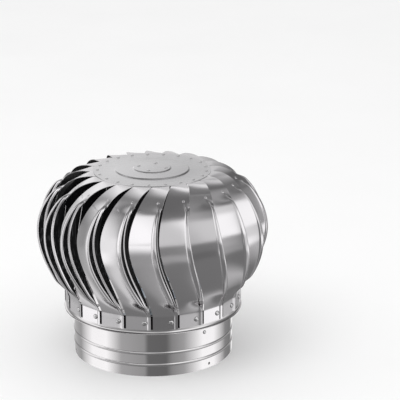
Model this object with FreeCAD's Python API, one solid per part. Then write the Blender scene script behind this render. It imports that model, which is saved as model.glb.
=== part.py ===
import FreeCAD, Part
import math
import os
from FreeCAD import Vector

# Roof turbine ventilator for a 300 mm round duct, in millimetres.
# The origin is the centre of the collar's bottom rim and +Z points up the spin axis.
# Angles are degrees to the right of the front, which faces -Y, seen as the head faces the viewer.

# Collar
collar_radius = 150.0
collar_wall = 0.8
collar_height = 116.0
bead_heights = (21.8, 45.0)
bead_width = 6.0
bead_rise = 1.5
hem_height = 7.0
hem_fold = 1.0
screw_hole_radius = 2.75
screw_hole_height = 7.8
screw_hole_angle = 43.6
arm_count = 3

# Bearings, sealed single-row ball bearings of the 12 x 32 x 10 size
shaft_radius = 6.0
bearing_radius = 16.0
bearing_width = 10.0
inner_ring_radius = 8.9
outer_ring_bore_radius = 13.1
shield_sheet = 0.5
shield_inset = 0.6
shield_gap = 0.4

# Hubs and support arms
hub_radius = 31.0
hub_sheet = 2.5
hub_cup_wall = 2.5
hub_cup_depth = 11.0
hub_hole_radius = 11.0
lower_hub_height = 62.0
upper_hub_height = 135.0
arm_sheet = 2.0
arm_root_radius = 18.0
arm_rivet_radius = 25.0
lower_arm_angle = 39.0
lower_arm_width = 22.0
lower_arm_foot_height = 20.0
lower_arm_rib_width = 10.0
lower_arm_rib_rise = 3.0
lower_arm_rib_margin = 8.0
upper_arm_angle = 99.0
upper_arm_width = 18.0
upper_arm_foot_base = 97.0
upper_arm_foot_height = 15.0

# Shaft and what is on it
shaft_bottom = 38.0
shoulder_radius = 9.5
shoulder_height = 6.0
spacer_radius = 8.0
washer_radius = 11.0
washer_sheet = 2.0
nut_flats = 19.0
nut_height = 8.0
boss_radius = 14.0
boss_height = 22.0
flange_radius = 32.0
flange_sheet = 3.0
pin_radius = 2.0

# Turbine head: blades, disc and ring
blade_count = 21
blade_sheet = 0.8
crown_height = 352.7
disc_radius = 110.0
disc_sheet = 1.0
swage_radii = (69.0, 35.0)
swage_rises = (2.6, 2.0)
swage_run = 3.0
ring_standoff = 13.5
ring_sheet = 1.0
ring_top = 123.5
ring_bottom = 89.0
lip_reach = 5.0
lip_bend = 4.0

# Blade: a panel that rises from its inner edge, tucked behind the neighbour, to a crest, where the
# sheet folds inwards to its free edge. The three lines are smooth curves through five levels.
# Reaches are beyond the ring's wall at shoulder, belly and waist, and beyond the disc at the crown.
level_heights = (316.0, 262.0, 190.0)
crown_reach = 18.5
crown_depth = 13.5
inner_reaches = (-1.0, 20.5, 19.0)
inner_angles = (-0.3, -11.6, -13.4, -7.2, -0.3)
crest_reaches = (25.0, 52.8, 44.0)
crest_angles = (9.2, 2.5, 1.6, 6.9, 15.2)
free_reaches = (15.0, 25.0, 23.5)
free_angles = (14.0, 4.6, 3.5, 9.2, 15.6)
blade_stations = 19
foot_gap = 3.0
tab_lap = 16.0
tab_end_angles = (19.4, 5.4)

# Fold and rib along the blade's free edge. It starts flat at the dimple and ends flat at the foot.
# The rib's step runs beside the crest and turns into the joggle of the foot.
fold_start = 0.14
fold_run = 0.13
fold_end_run = 0.17
start_inset = 11.0
foot_inset = 1.3
root_gap = 0.9
root_swell = 7.6
root_foot_gap = 5.2
step_gap = 0.45
step_swell = 6.5
step_foot_gap = 3.7
step_rise = 1.0
crease_rise = 1.2
joggle = 1.5

# Rivets
rivet_radius = 2.0
rivet_clearance = 0.05
tab_rivet_head = (3.0, 1.4)
tab_rivet_inset = 8.2
tab_rivet_angle = 13.5
foot_rivet_head = (4.7, 2.4)
foot_rivet_angle = 11.4
foot_rivet_height = 110.0
centre_rivet_head = (3.4, 1.6)
centre_rivet_circle = 26.0
centre_rivet_count = 4
centre_rivet_angle = -15.0
arm_rivet_head = (3.6, 1.8)
arm_rivet_height = 73.3
upper_arm_rivet_height = 104.5

# Fits
seat_gap = 0.02

# Sizes that follow
blade_pitch = 360.0 / blade_count
arm_pitch = 360.0 / arm_count
collar_bore = collar_radius - collar_wall
ring_radius = collar_radius + ring_standoff
lip_radius = ring_radius + lip_reach
crown_radius = disc_radius + crown_reach
tab_end_radius = disc_radius - tab_lap
tab_rivet_circle = disc_radius - tab_rivet_inset
foot_half_angle = math.radians((free_angles[-1] - inner_angles[-1]) / 2)
foot_radius = (ring_radius + blade_sheet) / math.cos(foot_half_angle)
foot_middle = (free_angles[-1] + inner_angles[-1]) / 2
foot_rivet_radius = (ring_radius + blade_sheet) / math.cos(math.radians(foot_rivet_angle - foot_middle))
foot_rivet_grip = foot_rivet_radius - ring_radius + 2 * ring_sheet
disc_centre_top = crown_height + disc_sheet + sum(swage_rises)
disc_centre_bottom = disc_centre_top - disc_sheet
lower_bearing_top = lower_hub_height
lower_bearing_bottom = lower_bearing_top - bearing_width
upper_bearing_bottom = upper_hub_height
upper_bearing_top = upper_bearing_bottom + bearing_width


def at(radius, angle, height):
    """Point at a radius, an angle right of the front and a height."""
    turn = math.radians(angle - 90)
    return Vector(radius * math.cos(turn), radius * math.sin(turn), height)


def radial(angle):
    """Unit vector that points outwards at an angle."""
    return at(1, angle, 0)


def turned(shape, angle):
    """Copy of a shape made at the front, turned to an angle."""
    copy = shape.copy()
    copy.rotate(Vector(0, 0, 0), Vector(0, 0, 1), angle)
    return copy


def save(name, *solids):
    """Writes one node from one or more separate solids."""
    shape = solids[0] if len(solids) == 1 else Part.makeCompound(list(solids))
    shape.exportStep(os.path.join("parts", name + ".step"))


def tube(outer, inner, bottom, height):
    """Upright tube about the spin axis."""
    wall = Part.makeCylinder(outer, height, Vector(0, 0, bottom))
    return wall.cut(Part.makeCylinder(inner, height, Vector(0, 0, bottom)))


def revolved(edges):
    """Solid turned about the spin axis from a closed outline of radius and height."""
    face = Part.Face(Part.Wire(edges))
    return face.revolve(Vector(0, 0, 0), Vector(0, 0, 1), 360)


def outline(points):
    """Straight edges between (radius, height) points, one after another."""
    places = [Vector(radius, 0, height) for radius, height in points]
    return [Part.makeLine(a, b) for a, b in zip(places, places[1:])]


def arc(start, middle, end):
    """Round edge through three (radius, height) points."""
    return Part.Arc(*(Vector(radius, 0, height) for radius, height in (start, middle, end))).toShape()


def rivet(place, outwards, head, grip):
    """Rivet whose head sits at place and whose shank reaches grip inwards."""
    head_radius, head_height = head
    start = place - outwards * grip
    shank = Part.makeCylinder(rivet_radius, grip, start, outwards)
    return shank.fuse(Part.makeCylinder(head_radius, head_height, place, outwards))


def drill(place, outwards, depth):
    """Drill for a rivet, from a little above place to depth below it."""
    radius = rivet_radius + rivet_clearance
    return Part.makeCylinder(radius, depth + 1, place - outwards * depth, outwards)


def collar_skin(radius):
    """Edges of one side of the collar's wall, bottom to top, with its two beads."""
    edges = []
    below = 0.0
    for height in bead_heights:
        low = height - bead_width / 2
        high = height + bead_width / 2
        edges += outline([(radius, below), (radius, low)])
        edges.append(arc((radius, low), (radius + bead_rise, height), (radius, high)))
        below = high
    return edges, below


def collar():
    """Rolled throat tube with two swaged beads, a hemmed top edge and its drilled holes."""
    outer, last = collar_skin(collar_radius)
    inner, last = collar_skin(collar_bore)
    hem_base = collar_height - hem_height
    outer += outline([(collar_radius, last), (collar_radius, hem_base), (collar_radius + hem_fold, hem_base),
                      (collar_radius + hem_fold, collar_height), (collar_bore, collar_height),
                      (collar_bore, last)])
    bottom = outline([(collar_bore, 0), (collar_radius, 0)])
    shape = revolved(bottom + outer + inner[::-1])
    for index in range(arm_count):
        turn = index * arm_pitch
        hole = at(collar_radius, screw_hole_angle + turn, screw_hole_height)
        out = radial(screw_hole_angle + turn)
        shape = shape.cut(Part.makeCylinder(screw_hole_radius, 6, hole - out * 3, out))
        for angle, height in ((lower_arm_angle, arm_rivet_height), (upper_arm_angle, upper_arm_rivet_height)):
            shape = shape.cut(drill(at(collar_radius, angle + turn, height), radial(angle + turn), 4))
    return shape


def arm_foot(width, base, height):
    """Upright end of an arm, curved to the collar's wall."""
    ring = tube(collar_bore, collar_bore - arm_sheet, base, height)
    block = Part.makeBox(width, collar_radius, height, Vector(-width / 2, -collar_radius, base))
    return ring.common(block)


def lower_arm():
    """Flat galvanised strap with a pressed rib, turned up against the collar."""
    base = lower_hub_height + hub_sheet
    half = lower_arm_width / 2
    reach = collar_bore - arm_sheet / 2
    root = Part.makeBox(lower_arm_width, reach - arm_root_radius, arm_sheet, Vector(-half, -reach, base))
    root = root.common(Part.makeCylinder(collar_bore, arm_sheet, Vector(0, 0, base)))
    crest = lower_arm_rib_width / 2 - lower_arm_rib_rise
    start = hub_radius + lower_arm_rib_margin
    length = collar_bore - 2 * lower_arm_rib_margin - start
    rib = [(-lower_arm_rib_width / 2, 0), (-crest, lower_arm_rib_rise), (crest, lower_arm_rib_rise),
           (lower_arm_rib_width / 2, 0)]
    top = [Vector(x, -start, base + arm_sheet + z) for x, z in rib]
    raised = Part.Face(Part.makePolygon(top + top[:1])).extrude(Vector(0, -length, 0))
    hollow = raised.copy()
    hollow.translate(Vector(0, 0, -arm_sheet))
    strap = root.fuse(raised).cut(hollow)
    foot = arm_foot(lower_arm_width, base, lower_arm_foot_height)
    strap = strap.fuse(foot).removeSplitter()
    return drilled_arm(strap, base + arm_sheet, arm_rivet_height)


def upper_arm():
    """Lighter strap that slopes up from the collar's top to the upper hub."""
    half = upper_arm_width / 2
    top = upper_hub_height - hub_sheet
    foot_low = upper_arm_foot_base
    reach = collar_bore - arm_sheet / 2
    side = [(arm_root_radius, top), (hub_radius, top), (reach, foot_low + arm_sheet),
            (reach, foot_low), (hub_radius, top - arm_sheet), (arm_root_radius, top - arm_sheet)]
    corners = [Vector(-half, -radius, height) for radius, height in side]
    strap = Part.Face(Part.makePolygon(corners + corners[:1])).extrude(Vector(upper_arm_width, 0, 0))
    foot = arm_foot(upper_arm_width, foot_low, upper_arm_foot_height)
    strap = strap.fuse(foot).removeSplitter()
    return drilled_arm(strap, top, upper_arm_rivet_height)


def drilled_arm(strap, hub_face, wall_height):
    """Arm with its rivet holes in the hub end and in the collar end."""
    strap = strap.cut(drill(at(arm_rivet_radius, 0, hub_face), Vector(0, 0, 1), 4))
    return strap.cut(drill(at(collar_radius, 0, wall_height), radial(0), 5))


def hub(height, up):
    """Pressed hub: a plate with a cup that holds the bearing; up is 1 or -1."""
    cup = bearing_radius + seat_gap
    rim = height + up * hub_cup_depth
    back = height - up * hub_sheet
    profile = outline([(hub_hole_radius, height), (cup, height), (cup, rim), (cup + hub_cup_wall, rim),
                       (cup + hub_cup_wall, height), (hub_radius, height), (hub_radius, back),
                       (hub_hole_radius, back), (hub_hole_radius, height)])
    return revolved(profile)


def drilled_hub(shape, first_angle, face):
    """Hub with a rivet hole for each arm."""
    for index in range(arm_count):
        place = at(arm_rivet_radius, first_angle + index * arm_pitch, face + 4)
        shape = shape.cut(drill(place, Vector(0, 0, 1), 8))
    return shape


def bearing(name, bottom):
    """Sealed ball bearing: outer ring, inner ring and two shields."""
    save(name + "_outer_ring", tube(bearing_radius, outer_ring_bore_radius, bottom, bearing_width))
    bore = shaft_radius + seat_gap
    save(name + "_inner_ring", tube(inner_ring_radius, bore, bottom, bearing_width))
    shield_levels = (bottom + shield_inset, bottom + bearing_width - shield_inset - shield_sheet)
    shields = [tube(outer_ring_bore_radius - seat_gap, inner_ring_radius + shield_gap, level, shield_sheet)
               for level in shield_levels]
    save(name + "_shields", *shields)


def shaft():
    """Spindle with the shoulder that rests on the upper bearing."""
    length = disc_centre_bottom - seat_gap - shaft_bottom
    rod = Part.makeCylinder(shaft_radius, length, Vector(0, 0, shaft_bottom))
    shoulder = Part.makeCylinder(shoulder_radius, shoulder_height, Vector(0, 0, upper_bearing_top))
    pin_height = disc_centre_bottom - flange_sheet - boss_height / 2
    return rod.fuse(shoulder).cut(cross_pin(pin_height, seat_gap))


def cross_pin(height, extra=0.0):
    """Pin through the flange's boss and the shaft."""
    length = 2 * boss_radius + 2
    return Part.makeCylinder(pin_radius + extra, length, Vector(-length / 2, 0, height), Vector(1, 0, 0))


def shaft_flange():
    """Turned flange that carries the top disc on the shaft."""
    bore = shaft_radius + seat_gap
    plate = disc_centre_bottom - flange_sheet
    foot = plate - boss_height
    shape = revolved(outline([(bore, foot), (boss_radius, foot), (boss_radius, plate), (flange_radius, plate),
                              (flange_radius, disc_centre_bottom), (bore, disc_centre_bottom), (bore, foot)]))
    shape = shape.cut(cross_pin(plate - boss_height / 2, seat_gap))
    return with_centre_holes(shape)


def with_centre_holes(shape):
    """Shape drilled for the rivets at the disc's centre."""
    for index in range(centre_rivet_count):
        angle = centre_rivet_angle + index * 360.0 / centre_rivet_count
        shape = shape.cut(drill(at(centre_rivet_circle, angle, disc_centre_top), Vector(0, 0, 1), 6))
    return shape


def top_disc():
    """Spun disc with two swaged steps that raise its centre."""
    top = [(disc_radius, crown_height + disc_sheet)]
    level = crown_height + disc_sheet
    for radius, rise in zip(swage_radii, swage_rises):
        top += [(radius + swage_run / 2, level), (radius - swage_run / 2, level + rise)]
        level += rise
    top.append((0, level))
    under = [(radius, height - disc_sheet) for radius, height in top]
    shape = with_centre_holes(revolved(outline(top + under[::-1] + top[:1])))
    for index in range(blade_count):
        angle = tab_rivet_angle + index * blade_pitch
        shape = shape.cut(drill(at(tab_rivet_circle, angle, crown_height + disc_sheet), Vector(0, 0, 1), 3))
    return shape


def lower_ring():
    """Rolled ring that the blades' feet are riveted to, with its bottom edge flared outwards."""
    bore = ring_radius - ring_sheet
    bend = lip_bend + ring_sheet
    turn = math.sqrt(0.5)
    start = ring_bottom + bend
    outer_mid = (ring_radius + lip_bend - lip_bend * turn, start - lip_bend * turn)
    inner_mid = (ring_radius + lip_bend - bend * turn, start - bend * turn)
    lip_top = ring_bottom + ring_sheet
    edges = outline([(bore, start), (bore, ring_top), (ring_radius, ring_top), (ring_radius, start)])
    edges.append(arc((ring_radius, start), outer_mid, (ring_radius + lip_bend, lip_top)))
    edges += outline([(ring_radius + lip_bend, lip_top), (lip_radius, lip_top), (lip_radius, ring_bottom),
                      (ring_radius + lip_bend, ring_bottom)])
    edges.append(arc((ring_radius + lip_bend, ring_bottom), inner_mid, (bore, start)))
    shape = revolved(edges)
    for index in range(blade_count):
        place, out = foot_rivet_seat(index * blade_pitch)
        shape = shape.cut(drill(place, out, foot_rivet_grip))
    return shape


def foot_rivet_seat(turn):
    """Place on the outer face of a flat foot where its rivet's head sits, and the foot's outward normal."""
    out = radial(foot_middle + turn)
    place = at(foot_rivet_radius, foot_rivet_angle + turn, foot_rivet_height)
    return place, out


def blade_line(crown_line_radius, reaches, angles):
    """Smooth curve of one of the blade's lines, from crown to foot."""
    places = [at(crown_line_radius, angles[0], crown_height)]
    for height, reach, angle in zip(level_heights, reaches, angles[1:]):
        places.append(at(ring_radius + reach, angle, height))
    places.append(at(foot_radius, angles[-1], ring_top))
    curve = Part.BSplineCurve()
    curve.interpolate(places)
    return curve


def ease(value):
    """Smooth ramp from 0 to 1."""
    value = min(1.0, max(0.0, value))
    return value * value * (3 - 2 * value)


def section(inner, crest, free, run, along):
    """Closed cross-section of the blade's sheet at a place between the fold's start (0) and the foot (1)."""
    leaf = math.sin(math.pi * along)
    blend = along ** 4
    across = (free - inner).normalize()
    run = across.cross(run.cross(across)).normalize()
    crest = crest - run * run.dot(crest - inner)
    flat = free - across * (start_inset + (foot_inset - start_inset) * along)
    crest = flat + (crest - flat) * (ease(along / fold_run) * ease((1 - along) / fold_end_run))
    slope = (crest - inner).normalize()
    normal = run.cross(slope).normalize()
    lift = normal * (joggle * blend)
    root = crest - slope * (root_gap + root_swell * leaf + (root_foot_gap - root_gap) * blend)
    step = crest - slope * (step_gap + step_swell * leaf + (step_foot_gap - step_gap) * blend)
    step = step + normal * (step_rise * leaf) + lift
    crest = crest + lift
    free = free + lift
    side = run.cross(free - crest).normalize()
    crease = (crest + free) * 0.5 + side * (crease_rise * leaf)
    skin = [inner, root, step, crest, crease, free]
    return skin + offset_back(skin, run)


def offset_back(skin, run):
    """The sheet's back, one sheet's thickness behind its face, from the free edge to the inner edge."""
    normals = [run.cross(b - a).normalize() for a, b in zip(skin, skin[1:])]
    before = normals[:1] + normals
    after = normals + normals[-1:]
    back = [place - (m + n) * (blade_sheet / (1 + m.dot(n))) for place, m, n in zip(skin, before, after)]
    return back[::-1]


def closed(points):
    """Closed polygon wire."""
    return Part.makePolygon(points + points[:1])


def blade():
    """Dished blade with its folded free edge, in one piece with its tab and its foot."""
    inner = blade_line(crown_radius - crown_depth, inner_reaches, inner_angles)
    crest = blade_line(crown_radius, crest_reaches, crest_angles)
    free = blade_line(crown_radius, free_reaches, free_angles)
    sections = []
    for station in range(blade_stations):
        share = station / (blade_stations - 1)
        place_in, run_in = curve_frame(inner, share)
        place_crest, run_crest = curve_frame(crest, share)
        place_free, run_free = curve_frame(free, share)
        along = max(0.0, (share - fold_start) / (1 - fold_start))
        run = (run_in + run_crest + run_free).normalize()
        sections.append(section(place_in, place_crest, place_free, run, along))
    panel = Part.makeLoft([closed(points) for points in sections], True, False)
    up = Vector(0, 0, 1)
    tab_out = at(tab_end_radius, tab_end_angles[0], crown_height)
    tab_in = at(tab_end_radius, tab_end_angles[1], crown_height)
    tab_end = section(tab_in, tab_out, tab_out, (tab_out - tab_in).cross(up).normalize(), 0)
    tab = Part.makeLoft([closed(tab_end), closed(sections[0])], True, True)
    foot_base = ring_bottom + lip_bend + ring_sheet + foot_gap
    drop = Vector(0, 0, foot_base - ring_top)
    foot_in = at(foot_radius, inner_angles[-1], ring_top)
    foot_out = at(foot_radius, free_angles[-1], ring_top)
    foot_top = section(foot_in, foot_out, foot_out, Vector(0, 0, -1), 1)
    foot = Part.makeLoft([closed(sections[-1]), closed([place + drop for place in foot_top])], True, True)
    shape = panel.fuse([tab, foot])
    tab_hole = at(tab_rivet_circle, tab_rivet_angle, crown_height)
    foot_hole, foot_out = foot_rivet_seat(0)
    shape = shape.cut(drill(tab_hole, up, 3))
    return shape.cut(drill(foot_hole, foot_out, 3))


def curve_frame(curve, share):
    """Place and direction at a share of a curve's length in its own parameter."""
    first = curve.FirstParameter
    value = first + share * (curve.LastParameter - first)
    return curve.value(value), curve.tangent(value)[0]


def hex_nut(bottom):
    """Hexagon lock nut on the shaft's lower end."""
    corner = nut_flats / math.sqrt(3)
    points = [at(corner, 60 * index, bottom) for index in range(6)]
    body = Part.Face(closed(points)).extrude(Vector(0, 0, nut_height))
    return body.cut(Part.makeCylinder(shaft_radius + seat_gap, nut_height, Vector(0, 0, bottom)))


def arm_rivets(first_angle, radius, height, outwards, grip):
    """One rivet for each arm; outwards is a direction or None for radial."""
    rivets = []
    for index in range(arm_count):
        angle = first_angle + index * arm_pitch
        direction = outwards or radial(angle)
        rivets.append(rivet(at(radius, angle, height), direction, arm_rivet_head, grip))
    return rivets


os.makedirs("parts", exist_ok=True)

save("collar", collar())
lower_strap = lower_arm()
upper_strap = upper_arm()
for index in range(arm_count):
    save("lower_arm_%d" % (index + 1), turned(lower_strap, lower_arm_angle + index * arm_pitch))
    save("upper_arm_%d" % (index + 1), turned(upper_strap, upper_arm_angle + index * arm_pitch))
save("lower_hub", drilled_hub(hub(lower_hub_height, -1), lower_arm_angle, lower_hub_height))
save("upper_hub", drilled_hub(hub(upper_hub_height, 1), upper_arm_angle, upper_hub_height - hub_sheet))
bearing("lower_bearing", lower_bearing_bottom)
bearing("upper_bearing", upper_bearing_bottom)

wall_grip = collar_wall + arm_sheet + 1.0
hub_grip = hub_sheet + arm_sheet + 1.0
save("lower_wall_rivets", *arm_rivets(lower_arm_angle, collar_radius, arm_rivet_height, None, wall_grip))
save("upper_wall_rivets", *arm_rivets(upper_arm_angle, collar_radius, upper_arm_rivet_height, None, wall_grip))
save("lower_hub_rivets", *arm_rivets(lower_arm_angle, arm_rivet_radius, lower_hub_height + hub_sheet + arm_sheet,
                                     Vector(0, 0, 1), hub_grip))
save("upper_hub_rivets", *arm_rivets(upper_arm_angle, arm_rivet_radius, upper_hub_height,
                                     Vector(0, 0, 1), hub_grip))

save("shaft", shaft())
save("spacer_tube", tube(spacer_radius, shaft_radius + seat_gap, lower_bearing_top,
                         upper_bearing_bottom - lower_bearing_top))
save("washer", tube(washer_radius, shaft_radius + seat_gap, lower_bearing_bottom - washer_sheet, washer_sheet))
save("lock_nut", hex_nut(lower_bearing_bottom - washer_sheet - nut_height))
save("shaft_flange", shaft_flange())
save("flange_pin", cross_pin(disc_centre_bottom - flange_sheet - boss_height / 2))
centre_rivets = []
for index in range(centre_rivet_count):
    angle = centre_rivet_angle + index * 360.0 / centre_rivet_count
    centre_rivets.append(rivet(at(centre_rivet_circle, angle, disc_centre_top), Vector(0, 0, 1),
                               centre_rivet_head, disc_sheet + flange_sheet + 1))
save("centre_rivets", *centre_rivets)
save("top_disc", top_disc())
save("lower_ring", lower_ring())

first_blade = blade()
tab_rivets = []
foot_rivets = []
for index in range(blade_count):
    turn = index * blade_pitch
    save("blade_%02d" % (index + 1), turned(first_blade, turn))
    tab_rivets.append(rivet(at(tab_rivet_circle, tab_rivet_angle + turn, crown_height + disc_sheet),
                            Vector(0, 0, 1), tab_rivet_head, disc_sheet + blade_sheet))
    place, out = foot_rivet_seat(turn)
    foot_rivets.append(rivet(place, out, foot_rivet_head, foot_rivet_grip))
save("tab_rivets", *tab_rivets)
save("foot_rivets", *foot_rivets)
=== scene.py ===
import math

import bmesh
import bpy
from mathutils import Matrix, Vector


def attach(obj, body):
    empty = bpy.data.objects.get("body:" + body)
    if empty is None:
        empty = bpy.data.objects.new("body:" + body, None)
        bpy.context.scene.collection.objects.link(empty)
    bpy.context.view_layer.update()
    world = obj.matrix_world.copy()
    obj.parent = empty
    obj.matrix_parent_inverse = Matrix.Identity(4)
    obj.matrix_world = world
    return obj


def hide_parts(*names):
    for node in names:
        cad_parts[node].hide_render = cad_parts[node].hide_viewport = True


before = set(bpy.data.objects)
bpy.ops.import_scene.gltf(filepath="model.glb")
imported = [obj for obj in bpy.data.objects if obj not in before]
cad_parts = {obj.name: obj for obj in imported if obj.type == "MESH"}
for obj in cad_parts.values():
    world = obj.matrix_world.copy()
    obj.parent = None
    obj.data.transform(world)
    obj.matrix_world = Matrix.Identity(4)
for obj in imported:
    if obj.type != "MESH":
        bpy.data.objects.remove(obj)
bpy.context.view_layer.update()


# Collar: the fixed throat that stands on the duct. It is polished stainless sheet 0.8 mm thick, rolled and
# lapped at the back, with two beads swaged outwards, a hemmed top edge and three holes for fixing screws.

collar_radius = 0.150
collar_wall = 0.0008
collar_height = 0.116
collar_sides = 240
bead_heights = (0.0218, 0.045)
bead_half_width = 0.003
bead_rise = 0.0015
bead_power = 1.5
bead_steps = 8
hem_height = 0.007
hem_fold = 0.001
hem_edge = 0.0006
hem_top_share = 0.4
lap_angle = 171.0
lap_fade = 14.0
screw_hole_radius = 0.00275
screw_hole_height = 0.0078
screw_hole_angle = 43.6
screw_hole_sides = 24
punch_length = 0.01
arm_count = 3
turned_corner = math.radians(32)


def linear(hex_colour):
    """Linear colour of an sRGB hex value."""
    channels = [int(hex_colour[i:i + 2], 16) / 255 for i in (1, 3, 5)]
    return [c / 12.92 if c <= 0.04045 else ((c + 0.055) / 1.055) ** 2.4 for c in channels] + [1.0]


def add(tree, kind, inputs=None, **settings):
    """Adds a node; each input is given a value or another node's output."""
    node = tree.nodes.new(kind)
    for name, value in settings.items():
        setattr(node, name, value)
    for key, value in (inputs or {}).items():
        if isinstance(value, bpy.types.NodeSocket):
            tree.links.new(value, node.inputs[key])
        else:
            node.inputs[key].default_value = value
    return node


def at(radius, angle, height):
    """Point at a radius, an angle in degrees right of the front, and a height."""
    turn = math.radians(angle - 90)
    return Vector((radius * math.cos(turn), radius * math.sin(turn), height))


def piece_from(name, mesh, *materials):
    """Object of a finished mesh, at the origin, with its materials."""
    for material in materials:
        mesh.materials.append(material)
    piece = bpy.data.objects.new(name, mesh)
    bpy.context.scene.collection.objects.link(piece)
    return piece


def mesh_from(name, build):
    """Mesh of what was built."""
    mesh = bpy.data.meshes.new(name)
    build.to_mesh(mesh)
    build.free()
    return mesh


def rounded_mesh(name, build, corner):
    """Mesh of what was built, shaded smooth where the faces meet at less than a corner's angle."""
    bmesh.ops.recalc_face_normals(build, faces=build.faces)
    mesh = mesh_from(name, build)
    mesh.shade_smooth()
    mesh.set_sharp_from_angle(angle=corner)
    return mesh


def lathe(name, profile, sides, swell=None):
    """Mesh turned about the spin axis from a closed outline; swell moves a point by its angle and index."""
    build = bmesh.new()
    columns = []
    for side in range(sides):
        angle = 360.0 * side / sides
        columns.append([build.verts.new(at(radius + (swell(angle, index) if swell else 0.0), angle, height))
                        for index, (radius, height) in enumerate(profile)])
    count = len(profile)
    for side in range(sides):
        here, there = columns[side], columns[(side + 1) % sides]
        for index in range(count):
            after = (index + 1) % count
            build.faces.new((here[index], there[index], there[after], here[after]))
    bmesh.ops.remove_doubles(build, verts=build.verts, dist=1e-7)
    return rounded_mesh(name, build, turned_corner)


def surface(name):
    """New material, its tree and shader, and the place on the piece, in metres."""
    material = bpy.data.materials.new(name)
    material.use_nodes = True
    tree = material.node_tree
    return material, tree, tree.nodes["Principled BSDF"], add(tree, "ShaderNodeTexCoord").outputs["Object"]


def per_metre(millimetres):
    """Scale of a pattern, in repeats per metre, from the real size of one repeat."""
    return 1000 / millimetres


# Cold-rolled stainless sheet, buffed bright: it mirrors the room a little softened. The buffing leaves
# patches 111 mm across that differ slightly in tone and gloss, the thin sheet waves about every 62.5 mm, and
# the rolling left grain 16.7 mm long, which is drawn 1.1 mm wide because the real one is too fine to show.
buffed_patch = 111
buffed_tone = 0.90
buffed_gloss = (0.75, 1.3)
sheet_wave = 62.5
grain_length = 16.7
grain_width = 1.11


def polished_sheet(name, hex_colour, roughness, ripple):
    """Polished stainless sheet: a bright mirror with faint rolling marks and the ripple of thin metal."""
    material, tree, shader, place = surface(name)
    patches = add(tree, "ShaderNodeTexNoise", {"Vector": place, "Scale": per_metre(buffed_patch),
                                               "Detail": 3.0}).outputs["Fac"]
    grain_scale = (per_metre(grain_length), per_metre(grain_length), per_metre(grain_width))
    grain_place = add(tree, "ShaderNodeMapping", {"Vector": place, "Scale": grain_scale}).outputs["Vector"]
    grain = add(tree, "ShaderNodeTexNoise", {"Vector": grain_place, "Scale": 1.0, "Detail": 2.0}).outputs["Fac"]
    tone = add(tree, "ShaderNodeMix", {"Factor": patches}, data_type="RGBA")
    tone.inputs["A"].default_value = linear(hex_colour)
    tone.inputs["B"].default_value = [c * buffed_tone for c in linear(hex_colour)[:3]] + [1.0]
    gloss = add(tree, "ShaderNodeMapRange", {"Value": patches, "To Min": roughness * buffed_gloss[0],
                                             "To Max": roughness * buffed_gloss[1]})
    wave = add(tree, "ShaderNodeTexNoise", {"Vector": place, "Scale": per_metre(sheet_wave),
                                            "Detail": 1.0}).outputs["Fac"]
    ripples = add(tree, "ShaderNodeBump", {"Height": wave, "Strength": ripple, "Distance": 0.004})
    marks = add(tree, "ShaderNodeBump", {"Height": grain, "Strength": 0.05, "Distance": 0.0002,
                                         "Normal": ripples.outputs["Normal"]})
    shader.inputs["Metallic"].default_value = 1.0
    tree.links.new(tone.outputs["Result"], shader.inputs["Base Color"])
    tree.links.new(gloss.outputs["Result"], shader.inputs["Roughness"])
    tree.links.new(marks.outputs["Normal"], shader.inputs["Normal"])
    return material


def bead_points(radius):
    """Outline of one side of the collar's wall between the rim and the hem, with its beads."""
    points = []
    for height in bead_heights:
        for step in range(bead_steps + 1):
            turn = math.pi * step / bead_steps
            rise = bead_rise * math.sin(turn) ** bead_power
            points.append((radius + rise, height - bead_half_width * math.cos(turn)))
    return points


collar_bore = collar_radius - collar_wall
hem_base = collar_height - hem_height
outer_side = [(collar_radius, 0.0)] + bead_points(collar_radius)
outer_side += [(collar_radius, hem_base),
               (collar_radius + hem_fold, hem_base + hem_edge),
               (collar_radius + hem_fold, collar_height - hem_edge),
               (collar_radius + hem_fold * hem_top_share, collar_height)]
inner_side = [(collar_bore, 0.0)] + bead_points(collar_bore) + [(collar_bore, collar_height)]


def lap_swell(angle, index):
    """Extra radius where the sheet's outer end lies over its inner end."""
    over = (lap_angle - angle) / lap_fade
    return collar_wall * (1 - over) if index < len(outer_side) and 0 <= over <= 1 else 0.0


collar_mesh = lathe("collar_mesh", outer_side + inner_side[::-1], collar_sides, lap_swell)
collar_steel = polished_sheet("polished_stainless_collar", "#d3d1d2", 0.085, 0.10)
collar = piece_from("duct_collar", collar_mesh, collar_steel)
for index in range(arm_count):
    angle = screw_hole_angle + 360.0 * index / arm_count
    build = bmesh.new()
    lean = Vector((0, 0, 1)).rotation_difference(at(1, angle, 0)).to_matrix().to_4x4()
    stance = Matrix.Translation(at(collar_radius, angle, screw_hole_height)) @ lean
    bmesh.ops.create_cone(build, segments=screw_hole_sides, radius1=screw_hole_radius,
                          radius2=screw_hole_radius, depth=punch_length, cap_ends=True, matrix=stance)
    punch = piece_from("punch", mesh_from("punch", build))
    cut = collar.modifiers.new("screw_hole", "BOOLEAN")
    cut.operation = "DIFFERENCE"
    cut.solver = "EXACT"
    cut.object = punch
    bpy.context.view_layer.update()
    drilled = bpy.data.meshes.new_from_object(collar.evaluated_get(bpy.context.evaluated_depsgraph_get()))
    collar.modifiers.clear()
    collar.data = drilled
    bpy.data.objects.remove(punch)
collar.data.set_sharp_from_angle(angle=turned_corner)
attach(collar, "base")
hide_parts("collar")


# Rivets of the support arms: plain stainless dome rivets, three through the collar for each spider and three
# through each hub plate. Each ring of them is one rivet, repeated round the spin axis.

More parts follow.
